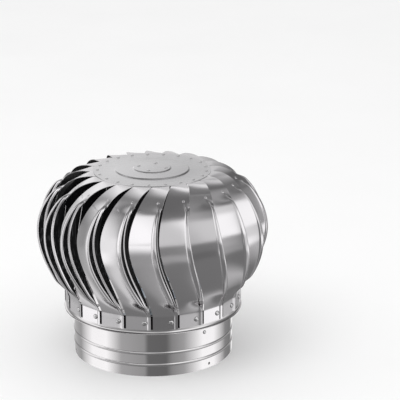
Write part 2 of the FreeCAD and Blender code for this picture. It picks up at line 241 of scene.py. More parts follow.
rivet_sides = 20
rivet_arc_steps = 5
rivet_rim_share = 0.15
rivet_sink = 0.0002
rivet_corner = math.radians(50)
arm_rivet = (0.0036, 0.0018)
arm_sheet = 0.002
hub_plate = 0.0045
hub_rivet_circle = 0.025
lower_arm_angle = 39.0
lower_arm_rivet_height = 0.0733
lower_hub_top = 0.0665
upper_arm_angle = 99.0
upper_arm_rivet_height = 0.1045
upper_hub_top = 0.135
up = Vector((0, 0, 1))


# Stainless wire, upset cold by the setting tool: satin, with a burnished dome and specks about 1.4 mm across.
rivet_speck = 1.43


def rivet_steel():
    """Plain stainless rivet: drawn wire, upset cold, so it is satin with a burnished dome."""
    material, tree, shader, place = surface("drawn_stainless_rivet")
    speck = add(tree, "ShaderNodeTexNoise", {"Vector": place, "Scale": per_metre(rivet_speck),
                                             "Detail": 2.0}).outputs["Fac"]
    gloss = add(tree, "ShaderNodeMapRange", {"Value": speck, "To Min": 0.12, "To Max": 0.28})
    dents = add(tree, "ShaderNodeBump", {"Height": speck, "Strength": 0.12, "Distance": 0.0002})
    shader.inputs["Base Color"].default_value = linear("#c9c8c9")
    shader.inputs["Metallic"].default_value = 1.0
    tree.links.new(gloss.outputs["Result"], shader.inputs["Roughness"])
    tree.links.new(dents.outputs["Normal"], shader.inputs["Normal"])
    return material


def dome(build, place, outwards, radius, height):
    """Adds a rivet's domed head to a mesh, its rim sunk a little into what it holds."""
    stance = up.rotation_difference(outwards).to_matrix().to_4x4()
    stance.translation = place
    outline = [(radius, -rivet_sink), (radius, height * rivet_rim_share)]
    for step in range(1, rivet_arc_steps):
        turn = math.pi / 2 * step / rivet_arc_steps
        outline.append((radius * math.cos(turn),
                        height * (rivet_rim_share + (1 - rivet_rim_share) * math.sin(turn))))
    loops = []
    for reach, level in outline:
        loops.append([])
        for side in range(rivet_sides):
            turn = 2 * math.pi * side / rivet_sides
            point = Vector((reach * math.cos(turn), reach * math.sin(turn), level))
            loops[-1].append(build.verts.new(stance @ point))
    for low, high in zip(loops, loops[1:]):
        for side in range(rivet_sides):
            after = (side + 1) % rivet_sides
            build.faces.new((low[side], low[after], high[after], high[side]))
    build.faces.new(loops[0][::-1])
    top = build.verts.new(stance @ Vector((0, 0, height)))
    for side in range(rivet_sides):
        build.faces.new((loops[-1][side], loops[-1][(side + 1) % rivet_sides], top))


def copies_tree():
    """Geometry Nodes tree that repeats a mesh round the spin axis; faces marked as shade get the black paint.
    """
    tree = bpy.data.node_groups.new("repeat_round_axis", "GeometryNodeTree")
    tree.interface.new_socket("Geometry", in_out="INPUT", socket_type="NodeSocketGeometry")
    tree.interface.new_socket("Count", in_out="INPUT", socket_type="NodeSocketInt")
    tree.interface.new_socket("Pitch", in_out="INPUT", socket_type="NodeSocketFloat")
    tree.interface.new_socket("Material", in_out="INPUT", socket_type="NodeSocketMaterial")
    tree.interface.new_socket("Shade Material", in_out="INPUT", socket_type="NodeSocketMaterial")
    tree.interface.new_socket("Geometry", in_out="OUTPUT", socket_type="NodeSocketGeometry")
    given = add(tree, "NodeGroupInput").outputs
    points = add(tree, "GeometryNodePoints", {"Count": given["Count"]}).outputs[0]
    number = add(tree, "GeometryNodeInputIndex").outputs["Index"]
    turn = add(tree, "ShaderNodeMath", {0: number, 1: given["Pitch"]}, operation="MULTIPLY").outputs["Value"]
    spin = add(tree, "FunctionNodeAxisAngleToRotation", {"Axis": (0.0, 0.0, 1.0), "Angle": turn})
    copies = add(tree, "GeometryNodeInstanceOnPoints", {"Points": points, "Instance": given["Geometry"],
                                                        "Rotation": spin.outputs["Rotation"]})
    real = add(tree, "GeometryNodeRealizeInstances", {"Geometry": copies.outputs["Instances"]})
    unshaded = add(tree, "GeometryNodeSetMaterial", {"Geometry": real.outputs["Geometry"],
                                                 "Material": given["Material"]})
    # Faces marked as shade get the black material that paints the shade inside the head.
    painted_shade = add(tree, "GeometryNodeInputNamedAttribute", {"Name": "painted_shade"}, data_type="BOOLEAN")
    dressed = add(tree, "GeometryNodeSetMaterial", {"Geometry": unshaded.outputs["Geometry"],
                                                    "Selection": painted_shade.outputs["Attribute"],
                                                    "Material": given["Shade Material"]})
    add(tree, "NodeGroupOutput", {"Geometry": dressed.outputs["Geometry"]})
    return tree


repeat_round_axis = copies_tree()


def repeated(name, mesh, count, material, shade_paint=None):
    """Piece made of a mesh repeated round the spin axis, as one plain mesh."""
    seed = piece_from(name + "_seed", mesh)
    modifier = seed.modifiers.new("repeat", "NODES")
    modifier.node_group = repeat_round_axis
    sockets = {item.name: item.identifier for item in repeat_round_axis.interface.items_tree
               if item.in_out == "INPUT"}
    modifier[sockets["Count"]] = count
    modifier[sockets["Pitch"]] = 2 * math.pi / count
    modifier[sockets["Material"]] = material
    # The second material paints the marked faces black as shade.
    modifier[sockets["Shade Material"]] = shade_paint or material
    bpy.context.view_layer.update()
    evaluated = seed.evaluated_get(bpy.context.evaluated_depsgraph_get())
    whole = bpy.data.meshes.new_from_object(evaluated)
    whole.name = name + "_mesh"
    bpy.data.objects.remove(seed)
    return piece_from(name, whole)


def rivet_ring(name, heads, count, material):
    """Rings of domed rivets; heads lists the place, direction, radius and height of the first of each ring."""
    build = bmesh.new()
    for place, outwards, radius, height in heads:
        dome(build, place, outwards, radius, height)
    return repeated(name, rounded_mesh(name, build, rivet_corner), count, material)


rivet_metal = rivet_steel()
for level, angle, wall_height, hub_top in (("lower", lower_arm_angle, lower_arm_rivet_height, lower_hub_top),
                                           ("upper", upper_arm_angle, upper_arm_rivet_height, upper_hub_top)):
    out = at(1, angle, 0)
    outside = at(collar_radius, angle, wall_height)
    inside = at(collar_bore - arm_sheet, angle, wall_height)
    wall_rivets = rivet_ring(level + "_wall_rivet_domes",
                             [(outside, out, *arm_rivet), (inside, -out, *arm_rivet)], arm_count, rivet_metal)
    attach(wall_rivets, "base")
    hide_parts(level + "_wall_rivets")
    above = at(hub_rivet_circle, angle, hub_top)
    below = at(hub_rivet_circle, angle, hub_top - hub_plate)
    hub_rivets = rivet_ring(level + "_hub_rivet_domes",
                            [(above, up, *arm_rivet), (below, -up, *arm_rivet)], arm_count, rivet_metal)
    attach(hub_rivets, "base")
    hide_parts(level + "_hub_rivets")


# Support arms and hubs: straps and pressed plates of galvanised steel, dull blue-grey with the spangle of the
# zinc. Their solids are already the shape of the real ones, so they only get their finish.

# Hot-dip zinc freezes into crystals, here 6.25 mm across, each of which catches the light at its own angle.
zinc_crystal = 6.25


def galvanised():
    """Hot-dip galvanised sheet: patches of zinc crystal, each a little lighter or duller than the next."""
    material, tree, shader, place = surface("galvanised_steel_spangle")
    cells = add(tree, "ShaderNodeTexVoronoi", {"Vector": place, "Scale": per_metre(zinc_crystal),
                                               "Randomness": 1.0})
    grey = add(tree, "ShaderNodeSeparateColor", {"Color": cells.outputs["Color"]}).outputs["Red"]
    tone = add(tree, "ShaderNodeMix", {"Factor": grey}, data_type="RGBA")
    tone.inputs["A"].default_value = linear("#b9c0c8")
    tone.inputs["B"].default_value = linear("#98a1ac")
    gloss = add(tree, "ShaderNodeMapRange", {"Value": grey, "To Min": 0.30, "To Max": 0.48})
    facets = add(tree, "ShaderNodeBump", {"Height": cells.outputs["Distance"], "Strength": 0.15,
                                          "Distance": 0.0004})
    shader.inputs["Metallic"].default_value = 0.9
    tree.links.new(tone.outputs["Result"], shader.inputs["Base Color"])
    tree.links.new(gloss.outputs["Result"], shader.inputs["Roughness"])
    tree.links.new(facets.outputs["Normal"], shader.inputs["Normal"])
    return material


def dress(material, *names):
    """Gives CAD nodes their finish."""
    for name in names:
        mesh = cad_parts[name].data
        mesh.materials.clear()
        mesh.materials.append(material)


arms = [level + "_arm_%d" % number for level in ("lower", "upper") for number in range(1, arm_count + 1)]
dress(galvanised(), "lower_hub", "upper_hub", *arms)


# Spindle, bearings and their nut: a turned steel shaft in two sealed ball bearings, with a spacer tube between
# their inner rings and a zinc-plated washer and nut below. They carry the whole turning head.

# Lathe and grinding marks run round the axis, so the steel glints in rings. They are drawn 1.3 to 5 mm apart,
# because the real ones are too fine to show. A wave texture repeats every 2 pi / 20 at a scale of 1. Handling
# leaves dull smudges about 11 mm across.
handling_smudge = 11.1
smudged_tone = 0.8
wave_repeat = 2 * math.pi / 20


def turned_steel(name, hex_colour, low, high, pitch):
    """Turned or ground steel: rings left by the tool, one every pitch along the spin axis."""
    material, tree, shader, place = surface(name)
    rings = add(tree, "ShaderNodeTexWave", {"Vector": place, "Scale": wave_repeat / pitch,
                                            "Distortion": 0.4, "Detail": 1.0},
                wave_type="BANDS", bands_direction="Z")
    smudge = add(tree, "ShaderNodeTexNoise", {"Vector": place, "Scale": per_metre(handling_smudge),
                                              "Detail": 3.0}).outputs["Fac"]
    tone = add(tree, "ShaderNodeMix", {"Factor": smudge}, data_type="RGBA")
    tone.inputs["A"].default_value = linear(hex_colour)
    tone.inputs["B"].default_value = [c * smudged_tone for c in linear(hex_colour)[:3]] + [1.0]
    gloss = add(tree, "ShaderNodeMapRange", {"Value": smudge, "To Min": low, "To Max": high})
    marks = add(tree, "ShaderNodeBump", {"Height": rings.outputs["Fac"], "Strength": 0.1, "Distance": 0.0001})
    shader.inputs["Metallic"].default_value = 1.0
    tree.links.new(tone.outputs["Result"], shader.inputs["Base Color"])
    tree.links.new(gloss.outputs["Result"], shader.inputs["Roughness"])
    tree.links.new(marks.outputs["Normal"], shader.inputs["Normal"])
    return material


dress(turned_steel("turned_steel_spindle", "#a9aaad", 0.22, 0.36, 0.002513), "shaft", "shaft_flange")
dress(turned_steel("zinc_plated_hardware", "#c3c5c4", 0.25, 0.40, 0.005027),
      "lock_nut", "washer", "spacer_tube", "flange_pin")
dress(turned_steel("ground_bearing_steel", "#b9babc", 0.08, 0.16, 0.001257),
      "lower_bearing_inner_ring", "upper_bearing_inner_ring",
      "lower_bearing_outer_ring", "upper_bearing_outer_ring")
dress(turned_steel("pressed_bearing_shield", "#8f9093", 0.30, 0.42, 0.003770),
      "lower_bearing_shields", "upper_bearing_shields")


# Lower ring: a rolled strip of stainless steel that ties the blades' feet together, with its bottom edge
# flared outwards into a lip that stiffens it and sheds rain past the collar. The wall under the feet is painted
# black as shade, which shows in the gaps between the feet, as the blades' backs are painted black as shade.

ring_sides = 252
ring_radius = 0.1635
ring_sheet = 0.001
ring_top = 0.1235
ring_bottom = 0.089
lip_radius = 0.1685
lip_bend = 0.004
lip_steps = 6
lip_round = 0.0002
lip_top = ring_bottom + lip_bend + ring_sheet
foot_clearance = 0.003
foot_bottom = lip_top + foot_clearance
# The band under the feet that is painted black as shade, set a little inside the feet's bottom and the ring's
# top.
ring_shade_margins = (0.0004, 0.0003)
ring_shade_heights = (foot_bottom + ring_shade_margins[0], ring_top - ring_shade_margins[1])


def lip_arc(bend, reverse=False):
    """Round of the flare, with a bend radius about the lip's own centre."""
    turns = [math.pi / 2 * step / lip_steps for step in range(lip_steps + 1)]
    points = [(ring_radius + lip_bend - bend * math.cos(turn), lip_top - bend * math.sin(turn))
              for turn in turns]
    return points[::-1] if reverse else points


ring_outline = [(ring_radius - ring_sheet, ring_top), (ring_radius, ring_top)]
ring_outline += lip_arc(lip_bend)
ring_outline += [(lip_radius - lip_round, ring_bottom + ring_sheet),
                 (lip_radius, ring_bottom + ring_sheet / 2),
                 (lip_radius - lip_round, ring_bottom)]
ring_outline += lip_arc(lip_bend + ring_sheet, reverse=True)


def paint_shade_between(material, low, high):
    """Paints black shade, seen in the gaps between the feet, on the band between two heights."""
    tree = material.node_tree
    shader = tree.nodes["Principled BSDF"]
    place = add(tree, "ShaderNodeTexCoord").outputs["Object"]
    height = add(tree, "ShaderNodeSeparateXYZ", {"Vector": place}).outputs["Z"]
    above = add(tree, "ShaderNodeMath", {0: height, 1: low}, operation="GREATER_THAN").outputs["Value"]
    below = add(tree, "ShaderNodeMath", {0: height, 1: high}, operation="LESS_THAN").outputs["Value"]
    band = add(tree, "ShaderNodeMath", {0: above, 1: below}, operation="MULTIPLY").outputs["Value"]
    unshaded = add(tree, "ShaderNodeMath", {0: 1.0, 1: band}, operation="SUBTRACT").outputs["Value"]
    tone = add(tree, "ShaderNodeMix", {"Factor": band}, data_type="RGBA")
    tree.links.new(shader.inputs["Base Color"].links[0].from_socket, tone.inputs["A"])
    # Painted shade: near-black and not metallic, where the gaps between the feet fall in shadow.
    tone.inputs["B"].default_value = linear("#0d0d0e")
    tree.links.new(tone.outputs["Result"], shader.inputs["Base Color"])
    tree.links.new(unshaded, shader.inputs["Metallic"])
    shader.inputs["Specular IOR Level"].default_value = 0.05


ring_steel = polished_sheet("polished_stainless_ring", "#d3d1d2", 0.09, 0.06)
# The ring's wall under the feet is painted black as shade.
paint_shade_between(ring_steel, *ring_shade_heights)
ring = piece_from("foot_ring", lathe("foot_ring_mesh", ring_outline, ring_sides), ring_steel)
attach(ring, "turbine")
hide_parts("lower_ring")


# Blades: twenty-one strips of polished stainless sheet, each rising from its inner edge to a crest where it
# folds back inwards, bent to a flat tab under the disc and to a joggled foot on the ring. The back and the fold
# are painted black as shade, apart from the bright ridge that stiffens the fold.

blade_count = 21
blade_sheet = 0.0008
crown_height = 0.3527
shoulder_height = 0.316
belly_height = 0.262
waist_height = 0.190
foot_angles = (-0.3, 15.6)
foot_crest_angle = 15.2
foot_middle = sum(foot_angles) / 2
foot_radius = (ring_radius + blade_sheet) / math.cos(math.radians((foot_angles[1] - foot_angles[0]) / 2))
tab_radius = 0.094
tab_angles = (5.4, 19.4)

# Radii and angles of the panel's inner edge, the crest and the free edge at each level, from the crown down.
inner_line = ((0.1150, -0.3), (0.1590, -10.7), (0.1850, -13.4), (0.1825, -7.0), (foot_radius, foot_angles[0]))
crest_line = ((0.1285, 9.2), (0.1885, 2.5), (0.2163, 1.6), (0.2075, 6.9), (foot_radius, foot_crest_angle))
free_line = ((0.1285, 14.0), (0.1765, 4.6), (0.1858, 3.4), (0.1830, 9.7), (foot_radius, foot_angles[1]))
levels = (crown_height, shoulder_height, belly_height, waist_height, ring_top)
inner_places, crest_places, free_places = [
    [at(radius, angle, height) for (radius, angle), height in zip(line, levels)]
    for line in (inner_line, crest_line, free_line)]
foot_places = [at(foot_radius, angle, ring_top) for angle in (foot_angles[0], foot_angles[1], foot_angles[1])]
tab_places = [at(tab_radius, angle, crown_height) for angle in (tab_angles[0], tab_angles[1], tab_angles[1])]

# The fold opens from a flat start to its depth and closes again at the foot: shares of the free edge's length.
fold_start = 0.14
fold_run = 0.13
fold_end_run = 0.17
# Between these shares of the way from the fold's start to the foot, the fold is painted black as shade.
shade_ends = (0.06, 0.985)
start_inset = 0.011
foot_inset = 0.0013

# A step runs beside the crest and turns into the foot's joggle. Its root and its top lie the first distance
# from the crest at the fold's start, the second farther halfway along, and the third at the foot.
root_insets = (0.0009, 0.0104, 0.0052)
step_insets = (0.00045, 0.0088, 0.0037)
step_rise = 0.0020
joggle = 0.0015
joggle_power = 4
ridge_half = 0.0016
ridge_share = 0.2
ridge_rise = 0.0014
panel_dish = 0.0010

# Bends across the sheet, with the length of their legs and their steps: root, step, crest, the ridge's three.
bends = ((0.0012, 3), (0.0014, 3), (0.0040, 8), (0.0007, 2), (0.0012, 4), (0.0007, 2))
bend_limit = 0.48
panel_columns = 6
panel_rows = 68
end_share = 0.004
tab_shares = (0.0, 0.4, 0.8, 0.96)
foot_drops = (0.0012, 0.009, 0.018, ring_top - foot_bottom)
upper_fold_column = panel_columns + sum(steps + 1 for leg, steps in bends[:3]) - 1
blade_corner = math.radians(40)


def smooth_through(places):
    """Cubic curve through places, knotted at their distances, and its direction."""
    knots = [0.0]
    for a, b in zip(places, places[1:]):
        knots.append(knots[-1] + (b - a).length)
    count = len(places)

    def end_slope(order):
        """Slope at the first of four places, from the cubic through them."""
        first = knots[order[0]]
        slope = Vector((0, 0, 0))
        for i in order[:4]:
            weight = 0.0
            for j in order[:4]:
                if j != i:
                    term = 1.0 / (knots[i] - knots[j])
                    for k in order[:4]:
                        if k not in (i, j):
                            term *= (first - knots[k]) / (knots[i] - knots[k])
                    weight += term
            slope += places[i] * weight
        return slope

    slopes = [None] * count
    slopes[0] = end_slope(list(range(count)))
    slopes[-1] = end_slope(list(range(count - 1, -1, -1)))
    inner = range(1, count - 1)
    upper, right = {}, {}
    for i in inner:
        before, after = knots[i] - knots[i - 1], knots[i + 1] - knots[i]
        pull = 3 * ((places[i] - places[i - 1]) * (after / before)
                    + (places[i + 1] - places[i]) * (before / after))
        diagonal = 2 * (before + after)
        if i == 1:
            pull = pull - slopes[0] * after
        else:
            diagonal -= after * upper[i - 1]
            pull = pull - right[i - 1] * after
        if i == count - 2:
            pull = pull - slopes[-1] * before
        upper[i] = before / diagonal
        right[i] = pull / diagonal
    for i in reversed(inner):
        slopes[i] = right[i] - (slopes[i + 1] * upper[i] if i < count - 2 else Vector((0, 0, 0)))

    def curve(share):
        """Place and direction at a share of the curve's length."""
        value = share * knots[-1]
        i = max(n for n in range(count - 1) if knots[n] <= value or n == 0)
        span = knots[i + 1] - knots[i]
        t = (value - knots[i]) / span
        place = (places[i] * (1 + 2 * t) * (1 - t) ** 2 + places[i + 1] * t * t * (3 - 2 * t)
                 + slopes[i] * span * t * (1 - t) ** 2 - slopes[i + 1] * span * t * t * (1 - t))
        run = ((places[i + 1] - places[i]) * (6 * t * (1 - t) / span) + slopes[i] * (1 - t) * (1 - 3 * t)
               + slopes[i + 1] * t * (3 * t - 2))
        return place, run.normalized()
    return curve


def ease(value):
    """Smooth ramp from 0 to 1."""
    value = min(1.0, max(0.0, value))
    return value * value * (3 - 2 * value)


def bent(places):
    """Points of a bent strip of sheet: its corners rounded, with a fixed number of points for each."""
    points = []
    for column in range(panel_columns):
        points.append(places[0].lerp(places[1], column / panel_columns))
    for (leg, steps), before, corner, after in zip(bends, places, places[1:], places[2:]):
        back, ahead = before - corner, after - corner
        start = corner + back * min(bend_limit, leg / max(back.length, 1e-6))
        end = corner + ahead * min(bend_limit, leg / max(ahead.length, 1e-6))
        for step in range(steps + 1):
            share = step / steps
            points.append(start.lerp(corner, share).lerp(corner.lerp(end, share), share))
    return points + [places[-1]]


def sheet_row(inner, crest, free, run, along):
    """Face and back points across the sheet, inner to free edge; along is 0 where the fold starts."""
    leaf = math.sin(math.pi * along)
    late = along ** joggle_power
    across = (free - inner).normalized()
    run = across.cross(run.cross(across)).normalized()
    crest = crest - run * run.dot(crest - inner)
    flat = free - across * (start_inset + (foot_inset - start_inset) * along)
    crest = flat + (crest - flat) * (ease(along / fold_run) * ease((1 - along) / fold_end_run))
    slope = (crest - inner).normalized()
    normal = run.cross(slope).normalized()
    insets = [start + swell * leaf + (end - start) * late for start, swell, end in (root_insets, step_insets)]
    root = crest - slope * insets[0]
    step = crest - slope * insets[1] + normal * (step_rise * leaf + joggle * late)
    crest = crest + normal * (joggle * late)
    free = free + normal * (joggle * late)
    depth = free - crest
    middle = (crest + free) * 0.5
    half = depth.normalized() * min(ridge_half, depth.length * ridge_share)
    ridge = middle + run.cross(depth).normalized() * (ridge_rise * leaf)
    face = bent([inner, root, step, crest, middle - half, ridge, middle + half, free])
    width = (root - inner).length
    for number in range(1, panel_columns):
        share = (face[number] - inner).length / width
        face[number] = face[number] - normal * (panel_dish * 4 * share * (1 - share) * leaf)
    normals = [run.cross(b - a).normalized() for a, b in zip(face, face[1:])]
    back = [place - (m + n) * (blade_sheet / (1 + m.dot(n)))
            for place, m, n in zip(face, normals[:1] + normals, normals + normals[-1:])]
    return face, back


def blade_rows():
    """Rows of the blade from the tab's end over the crown to the foot's bottom."""
    curves = [smooth_through(places) for places in (inner_places, crest_places, free_places)]
    crown = [places[0] for places in (inner_places, crest_places, free_places)]
    tab_run = (tab_places[1] - tab_places[0]).cross(up)
    rows = []
    for share in tab_shares:
        places = [a.lerp(b, share) for a, b in zip(tab_places, crown)]
        rows.append((*sheet_row(*places, tab_run, 0.0), 0.0))
    for number in range(panel_rows + 1):
        share = end_share + (1 - 2 * end_share) * number / panel_rows
        places, runs = zip(*[curve(share) for curve in curves])
        along = min(1.0, max(0.0, (share - fold_start) / (1 - fold_start)))
        rows.append((*sheet_row(*places, (runs[0] + runs[1] + runs[2]).normalized(), along), along))
    for drop in foot_drops:
        rows.append((*sheet_row(*[place - up * drop for place in foot_places], -up, 1.0), 1.0))
    return rows


def blade_mesh():
    """One blade as a closed sheet; the faces of its back and its fold are marked for painted black shade."""
    build = bmesh.new()
    painted_shade = build.faces.layers.bool.new("painted_shade")
    fronts, backs, shares = [], [], []
    for face_points, back_points, along in blade_rows():
        fronts.append([build.verts.new(point) for point in face_points])
        backs.append([build.verts.new(point) for point in back_points])
        shares.append(along)
    for row, back_row, after, back_after, along in zip(fronts, backs, fronts[1:], backs[1:], shares):
        in_shaded_fold = shade_ends[0] < along < shade_ends[1]
        for column in range(len(row) - 1):
            face = build.faces.new((row[column], row[column + 1], after[column + 1], after[column]))
            # The fold's wall, all but its ridge, is painted black as shade, and so is the whole back.
            face[painted_shade] = in_shaded_fold and column in (upper_fold_column, len(row) - 2)
            face = build.faces.new((back_row[column], back_after[column], back_after[column + 1],
                                    back_row[column + 1]))
            face[painted_shade] = True
        build.faces.new((row[0], after[0], back_after[0], back_row[0]))
        build.faces.new((row[-1], back_row[-1], back_after[-1], after[-1]))
    for row, back_row in ((fronts[0], backs[0]), (fronts[-1], backs[-1])):
        for column in range(len(row) - 1):
            build.faces.new((row[column], back_row[column], back_row[column + 1], row[column + 1]))
    return rounded_mesh("blade", build, blade_corner)


# Black paint that stands in for the shade on the blades' backs and in their folds: matt, with strokes drawn
# 2.4 mm wide and 71 mm long so that they show, worn to dark grey on their ridges.
stroke_width = 2.38
stroke_length = 71.4


def black_shade_coat():
    """Black painted shade on the sheet's back and in the fold: matt, in strokes along the blade."""
    material, tree, shader, place = surface("black_painted_shade")
    stroke_scale = (per_metre(stroke_width), per_metre(stroke_width), per_metre(stroke_length))
    strokes_place = add(tree, "ShaderNodeMapping", {"Vector": place, "Scale": stroke_scale}).outputs["Vector"]
    strokes = add(tree, "ShaderNodeTexNoise", {"Vector": strokes_place, "Scale": 1.0,
                                               "Detail": 4.0}).outputs["Fac"]
    worn = add(tree, "ShaderNodeMapRange", {"Value": strokes, "From Min": 0.52, "From Max": 0.72})
    tone = add(tree, "ShaderNodeMix", {"Factor": worn.outputs["Result"]}, data_type="RGBA")
    # Near-black paint that stands in for the shade inside the head.
    tone.inputs["A"].default_value = linear("#0b0b0c")
    tone.inputs["B"].default_value = linear("#3a3a3c")
    gloss = add(tree, "ShaderNodeMapRange", {"Value": strokes, "To Min": 0.40, "To Max": 0.60})
    ridges = add(tree, "ShaderNodeBump", {"Height": strokes, "Strength": 0.25, "Distance": 0.0005})
    shader.inputs["Specular IOR Level"].default_value = 0.05
    tree.links.new(tone.outputs["Result"], shader.inputs["Base Color"])
    tree.links.new(gloss.outputs["Result"], shader.inputs["Roughness"])
    tree.links.new(ridges.outputs["Normal"], shader.inputs["Normal"])
    return material


blade_steel = polished_sheet("polished_stainless_blade", "#d6d4d6", 0.17, 0.12)
# The blades' backs and folds get the black painted shade.
blades = repeated("turbine_blades", blade_mesh(), blade_count, blade_steel, black_shade_coat())

# Each panel mirrors the studio and not its neighbours, which keeps its tones even.
blades.visible_glossy = False
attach(blades, "turbine")
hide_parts(*["blade_%02d" % (number + 1) for number in range(blade_count)])


# Top disc: spun stainless sheet with two swaged steps that raise its centre, laid over the blades' tabs. It is
# rolled stock with a satin face, so it shows the sky as an even pale grey.

disc_sides = 210
disc_radius = 0.110
disc_sheet = 0.001
swages = ((0.069, 0.0026), (0.035, 0.0020))
swage_half_run = 0.0018
swage_steps = 8


def disc_side(base):
    """Outline of one face of the disc, from its edge to its centre, with rounded steps."""
    points = [(disc_radius, base)]
    level = base
    for radius, rise in swages:
        for step in range(swage_steps + 1):
            share = step / swage_steps
            points.append((radius + swage_half_run * (1 - 2 * share),
                           level + rise * (1 - math.cos(math.pi * share)) / 2))
        level += rise
    points.append((0.0, level))
    return points


# Rolled stainless left satin: rolling lines 40 mm long, drawn 0.7 mm wide so that they show, blur what it
# mirrors. Patches 71 mm across differ slightly in tone.
line_length = 40
line_width = 0.714
disc_patch = 71.4


def satin_disc():
    """Satin stainless: fine straight rolling lines across the disc that blur what it mirrors."""
    material, tree, shader, place = surface("satin_stainless_disc")
    line_scale = (per_metre(line_length), per_metre(line_width), per_metre(line_length))
    lines_place = add(tree, "ShaderNodeMapping", {"Vector": place, "Scale": line_scale}).outputs["Vector"]
    lines = add(tree, "ShaderNodeTexNoise", {"Vector": lines_place, "Scale": 1.0, "Detail": 3.0}).outputs["Fac"]
    patches = add(tree, "ShaderNodeTexNoise", {"Vector": place, "Scale": per_metre(disc_patch), "Detail": 4.0})
    tone = add(tree, "ShaderNodeMix", {"Factor": patches.outputs["Fac"]}, data_type="RGBA")
    tone.inputs["A"].default_value = linear("#d0cfd0")
    tone.inputs["B"].default_value = linear("#c3c2c4")
    gloss = add(tree, "ShaderNodeMapRange", {"Value": lines, "To Min": 0.22, "To Max": 0.34})
    marks = add(tree, "ShaderNodeBump", {"Height": lines, "Strength": 0.08, "Distance": 0.0002})
    shader.inputs["Metallic"].default_value = 1.0
    tree.links.new(tone.outputs["Result"], shader.inputs["Base Color"])
    tree.links.new(gloss.outputs["Result"], shader.inputs["Roughness"])
    tree.links.new(marks.outputs["Normal"], shader.inputs["Normal"])
    return material


disc_outline = disc_side(crown_height + disc_sheet) + disc_side(crown_height)[::-1]
disc = piece_from("crown_disc", lathe("crown_disc_mesh", disc_outline, disc_sides), satin_disc())
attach(disc, "turbine")
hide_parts("top_disc")


# Rivets of the head: small dome rivets that hold the tabs under the disc and the disc on the spindle's flange,
# large ones that hold the feet on the ring, and the round dimple that starts each blade's rib.

tab_rivet_circle = 0.1018
tab_rivet_angle = 13.5
tab_rivet = (0.0030, 0.0014)
foot_rivet_angle = 11.4
foot_rivet_height = 0.110
foot_rivet = (0.0047, 0.0024)
centre_rivet_count = 4
centre_rivet_circle = 0.026
centre_rivet_angle = -15.0
centre_rivet = (0.0034, 0.0016)
dimple = (0.0026, 0.0011)

fold_out, out_run = smooth_through(free_places)(fold_start)
fold_in, in_run = smooth_through(inner_places)(fold_start)
dimple_normal = (out_run + in_run).cross(fold_out - fold_in).normalized()
dimple_place = fold_out + (fold_in - fold_out).normalized() * start_inset
dimples = rivet_ring("rib_dimples", [(dimple_place, dimple_normal, *dimple)], blade_count, blade_steel)
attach(dimples, "turbine")

disc_top = crown_height + disc_sheet
tab_rivets = rivet_ring("tab_rivet_domes", [(at(tab_rivet_circle, tab_rivet_angle, disc_top), up, *tab_rivet)],
                        blade_count, rivet_metal)
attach(tab_rivets, "turbine")
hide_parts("tab_rivets")

foot_plane = (ring_radius + blade_sheet) / math.cos(math.radians(foot_rivet_angle - foot_middle))
foot_place = at(foot_plane, foot_rivet_angle, foot_rivet_height)
foot_rivets = rivet_ring("foot_rivet_domes", [(foot_place, at(1, foot_middle, 0), *foot_rivet)], blade_count,
                         rivet_metal)
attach(foot_rivets, "turbine")
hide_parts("foot_rivets")

disc_centre_top = disc_top + sum(rise for radius, rise in swages)
centre_rivets = rivet_ring("centre_rivet_domes",
                           [(at(centre_rivet_circle, centre_rivet_angle, disc_centre_top), up, *centre_rivet)],
                           centre_rivet_count, rivet_metal)
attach(centre_rivets, "turbine")
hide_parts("centre_rivets")


# Studio: a pale floor, a soft lamp overhead and a large drum of cloth round the object that only the metal
# mirrors. Below the horizon it is dark in front and pale on either side. Above the horizon it is brighter, and
# near the top it is dim again.

# Each cloth lists degrees right of the front and the brightness there. They hang one above the other, and each
# takes over from the one below it between two heights, in degrees above the horizon.
drum_radius = 2.6
drum_segments = 64
drum_rings = 32
drum_centre = 0.2
deep_cloth = ((-180, 0.22), (-140, 0.50), (-120, 0.95), (-105, 0.85), (-94, 0.48), (-65, 0.42), (-40, 0.26),
              (50, 0.23), (72, 0.70), (110, 0.24), (180, 0.22))
low_cloth = ((-180, 0.60), (-128, 0.46), (-98, 1.45), (-70, 1.50), (-46, 0.56), (-13, 0.44), (-8, 0.20),
             (18, 0.19), (26, 0.38), (44, 0.54), (74, 1.50), (96, 1.48), (126, 0.35), (148, 0.24), (166, 1.30),
             (180, 1.00))
belly_cloth = ((-180, 0.80), (-150, 0.60), (-138, 0.34), (-122, 0.50), (-108, 1.25), (-86, 1.20), (-76, 0.60),
               (-54, 0.50), (-40, 0.34), (0, 0.25), (20, 0.24), (36, 0.60), (66, 1.05), (90, 0.45), (180, 0.80))
middle_cloth = ((-180, 0.85), (-160, 1.25), (-146, 0.80), (-132, 0.22), (-118, 0.45), (-106, 1.10), (-80, 1.50),
                (-58, 1.50), (-44, 0.85), (-6, 0.92), (6, 0.62), (18, 0.75), (28, 1.50), (72, 1.36), (90, 0.42),
                (120, 0.20), (142, 0.15), (158, 0.50), (180, 0.85))
high_cloth = ((-180, 1.40), (-150, 0.80), (-125, 0.30), (-45, 0.20), (-18, 0.40), (0, 0.60), (36, 1.00),
              (78, 0.50), (115, 0.20), (140, 0.45), (180, 1.40))
top_cloth = ((-180, 0.34), (-120, 0.20), (-40, 0.19), (0, 0.40), (50, 0.20), (84, 0.50), (120, 0.16),
             (180, 0.34))
upper_cloths = ((low_cloth, -34.0, -27.0), (belly_cloth, -20.0, -14.0), (middle_cloth, 0.0, 6.0),
                (high_cloth, 42.0, 50.0), (top_cloth, 56.0, 70.0))


def turn_ramp(tree, turn, cloth):
    """Brightness round the object, from a cloth's stops."""
    ramp = add(tree, "ShaderNodeValToRGB", {"Fac": turn})
    elements = ramp.color_ramp.elements
    ends = (elements[0], elements[1])
    for element, (angle, value) in zip(ends, (cloth[0], cloth[-1])):
        element.position = 0.5 + angle / 360
        element.color = (value, value, value, 1.0)
    for angle, value in cloth[1:-1]:
        elements.new(0.5 + angle / 360).color = (value, value, value, 1.0)
    return ramp.outputs["Color"]


